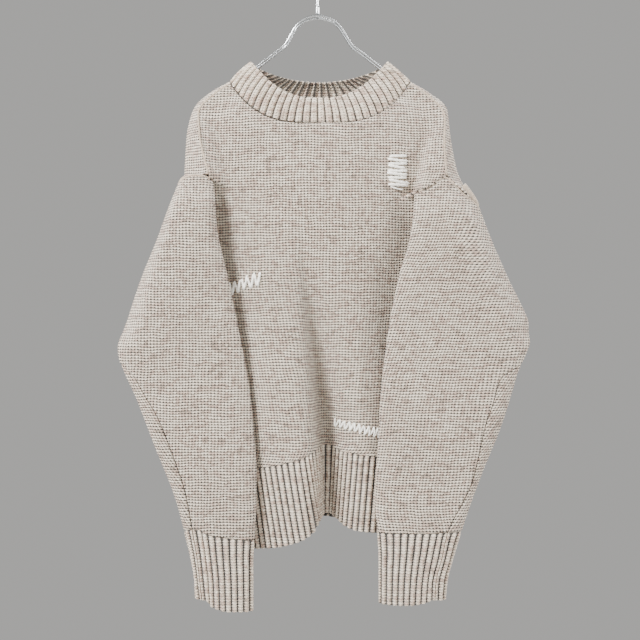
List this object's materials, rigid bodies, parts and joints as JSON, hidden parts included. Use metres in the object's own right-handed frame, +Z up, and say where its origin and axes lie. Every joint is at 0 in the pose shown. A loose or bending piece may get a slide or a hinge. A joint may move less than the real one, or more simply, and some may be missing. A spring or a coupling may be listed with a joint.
{
  "type": "darned sweater on a wire hanger",
  "caption": "Oversized crew-neck sweater in marled wool with ribbed collar, cuffs and hem, hand-darned in pale yarn, hanging on a slim wire hanger.",
  "frame": {"origin": "inside of the hook's crown, where the hanger rests on its rail", "axes": "+Z up, +X to the viewer's right, -Y towards the viewer and the garment's front"},
  "size_m": [0.5589, 0.1158, 0.8906],
  "materials": {
    "wool_knit": "marled woollen stockinette and rib",
    "darning_yarn": "thick soft yarn, hand stitched",
    "chromed_wire": "polished chromed steel wire"
  },
  "bodies": {
    "root": {"front": "wool_knit", "back": "wool_knit", "hem_front": "wool_knit", "hem_back": "wool_knit", "sleeve_left": "wool_knit", "cuff_left": "wool_knit", "sleeve_right": "wool_knit", "cuff_right": "wool_knit", "collar": "wool_knit", "darn_chest": "darning_yarn", "darn_waist": "darning_yarn", "darn_hem": "darning_yarn", "hanger_wires": "chromed_wire", "hanger_hook": "chromed_wire", "hanger_ferrule": "chromed_wire", "hanger_bridge": "chromed_wire"}
  },
  "joints": []
}
